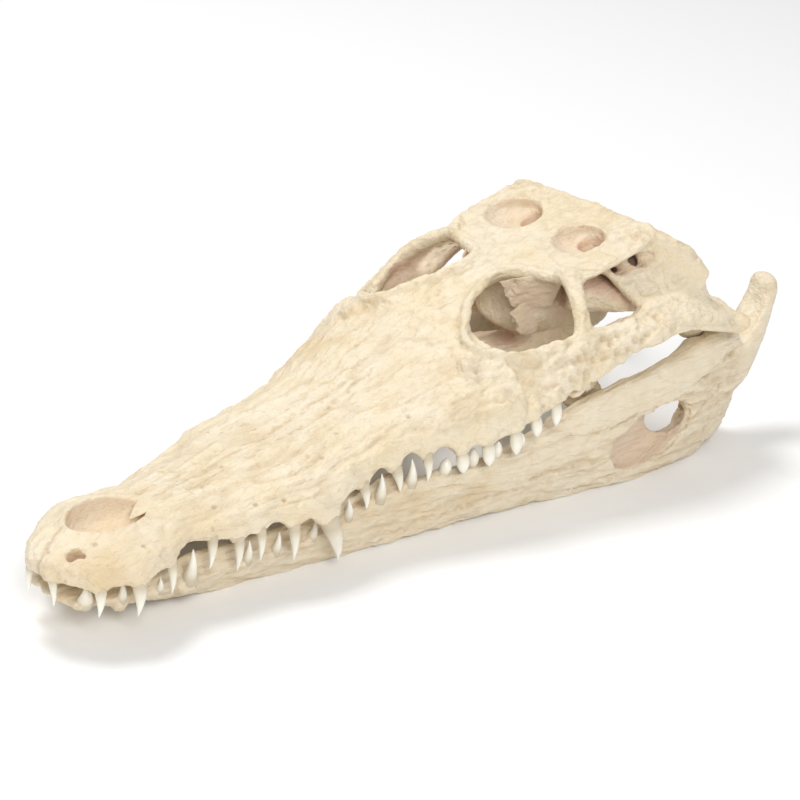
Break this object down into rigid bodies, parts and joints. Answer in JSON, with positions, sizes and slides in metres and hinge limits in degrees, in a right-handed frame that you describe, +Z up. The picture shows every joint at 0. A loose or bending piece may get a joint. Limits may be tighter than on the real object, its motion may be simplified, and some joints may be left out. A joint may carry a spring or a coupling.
{
  "type": "crocodile skull",
  "caption": "Crocodile skull with its lower jaw and teeth, bleached bone, lying on the floor with the jaws almost closed.",
  "frame": {"origin": "on the floor under the middle of the skull with its lower jaw", "axes": "+Z up, the snout points to -Y, +X is the animal's left side"},
  "size_m": [0.1932, 0.4988, 0.1342],
  "materials": {
    "bone": "dry cream-coloured bone, pitted, with paler glossy teeth",
    "jaw_bone": "dry cream-coloured bone, grained lengthwise, with paler glossy teeth"
  },
  "bodies": {
    "root": {"snout": "bone", "cranium": "bone", "cheek_left": "bone", "cheek_right": "bone", "mandible_left": "jaw_bone", "mandible_right": "jaw_bone"}
  },
  "joints": []
}
